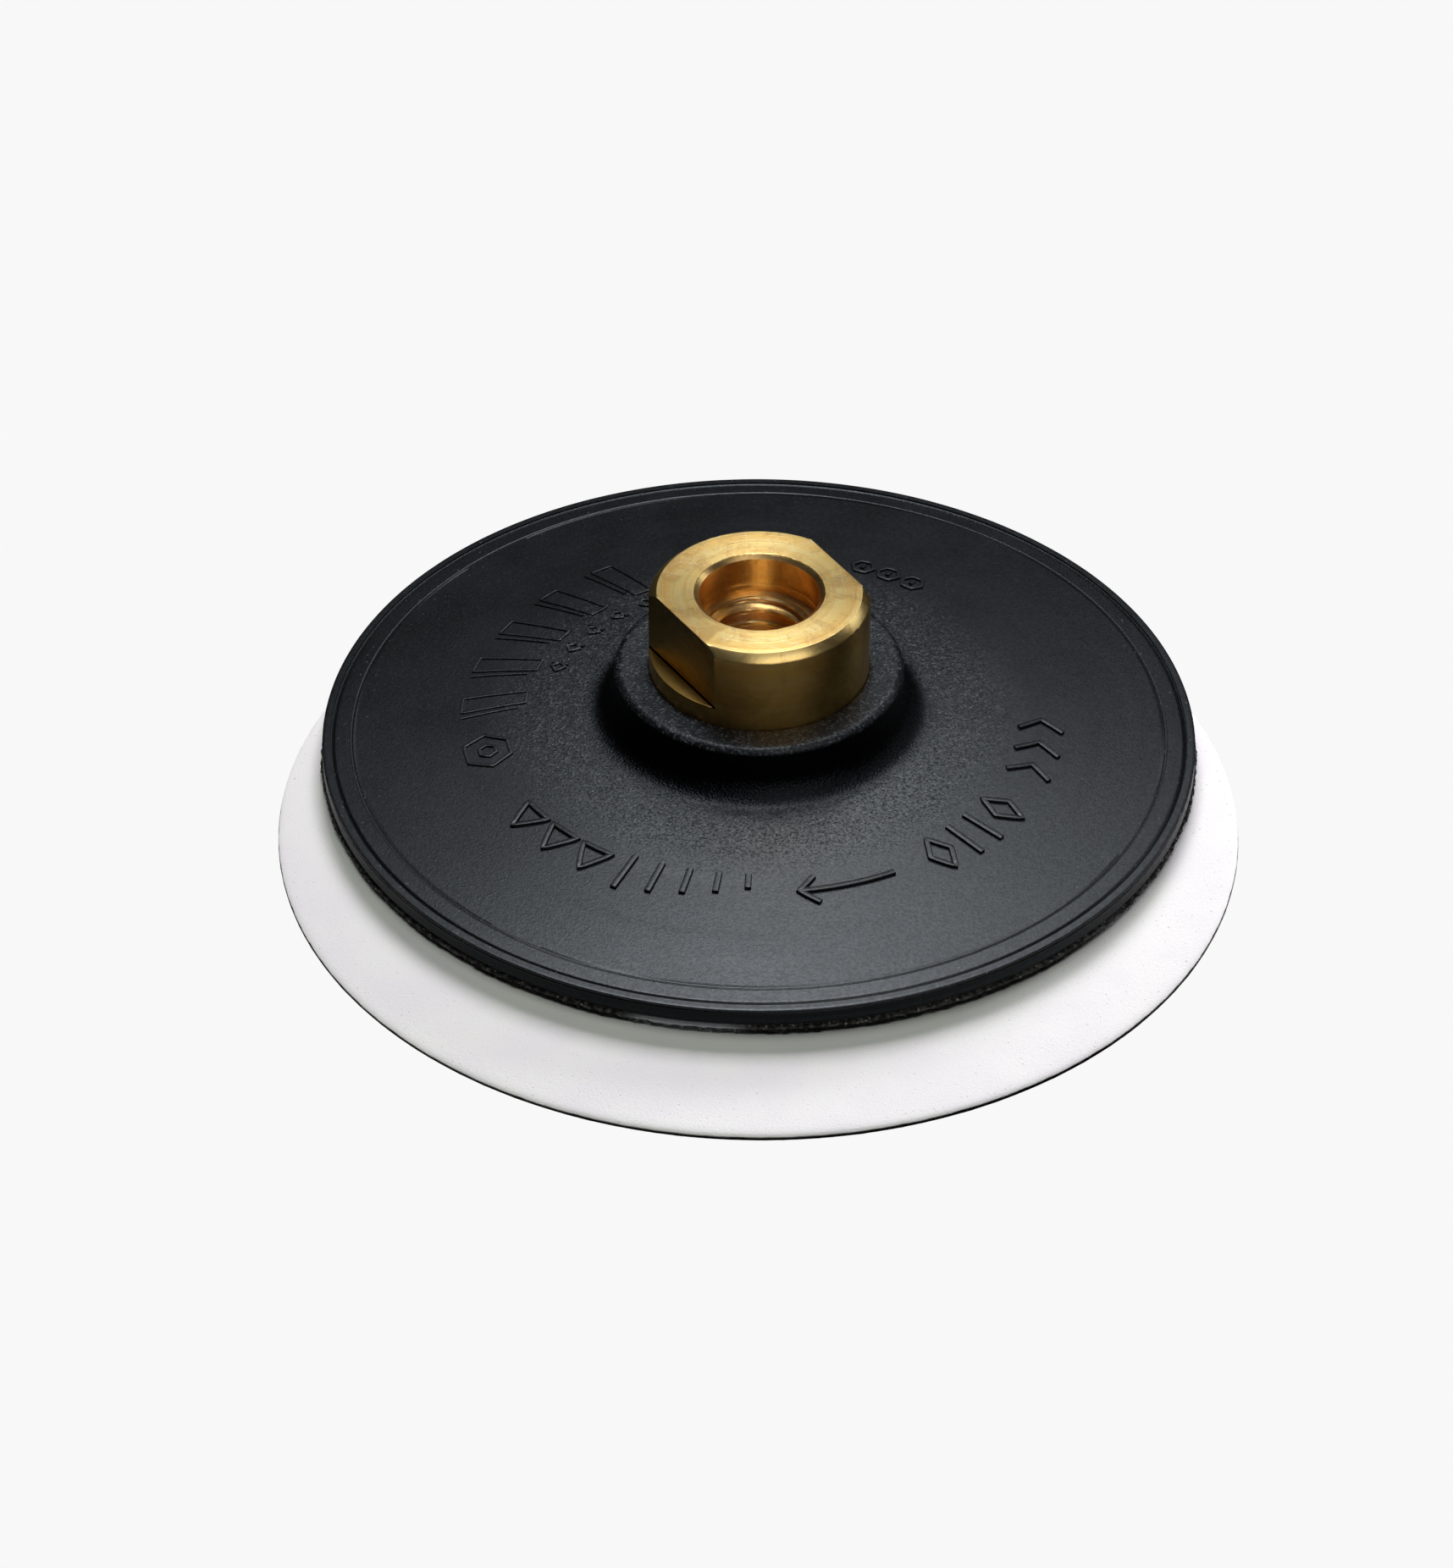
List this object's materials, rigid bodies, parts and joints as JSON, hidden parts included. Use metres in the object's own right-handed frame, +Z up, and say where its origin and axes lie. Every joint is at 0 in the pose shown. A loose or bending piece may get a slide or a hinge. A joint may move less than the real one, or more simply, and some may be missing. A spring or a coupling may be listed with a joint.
{
  "type": "angle sander backing pad with abrasive disc",
  "caption": "Round black hook-and-loop backing pad with a threaded brass hub, lying on a slightly larger white loop-backed abrasive disc.",
  "frame": {"origin": "on the spindle axis, in the plane of the abrasive face that the disc rests on", "axes": "+Z up along the hub's thread, -Y towards the side where the disc shows past the pad, +X to the right"},
  "size_m": [0.125, 0.1349, 0.0271],
  "materials": {
    "brass_hub": "satin",
    "plate_nylon": "satin",
    "facing_glue": "matte",
    "hook_nylon": "matte",
    "loop_fabric": "matte",
    "loop_glue": "satin",
    "disc_paper": "matte",
    "abrasive_grit": "matte"
  },
  "bodies": {
    "abrasive_disc": {"abrasive_coat": "abrasive_grit", "disc_backing": "disc_paper", "loop_adhesive": "loop_glue", "loop_facing": "loop_fabric"},
    "backing_pad": {"hook_facing": "hook_nylon", "facing_adhesive": "facing_glue", "backing_plate": "plate_nylon", "hub_insert": "brass_hub"}
  },
  "joints": [
    {"name": "disc_release", "type": "slide", "parent": "abrasive_disc", "child": "backing_pad", "axis": [0, 0, 1], "range_m": [0, 0.06]}
  ]
}
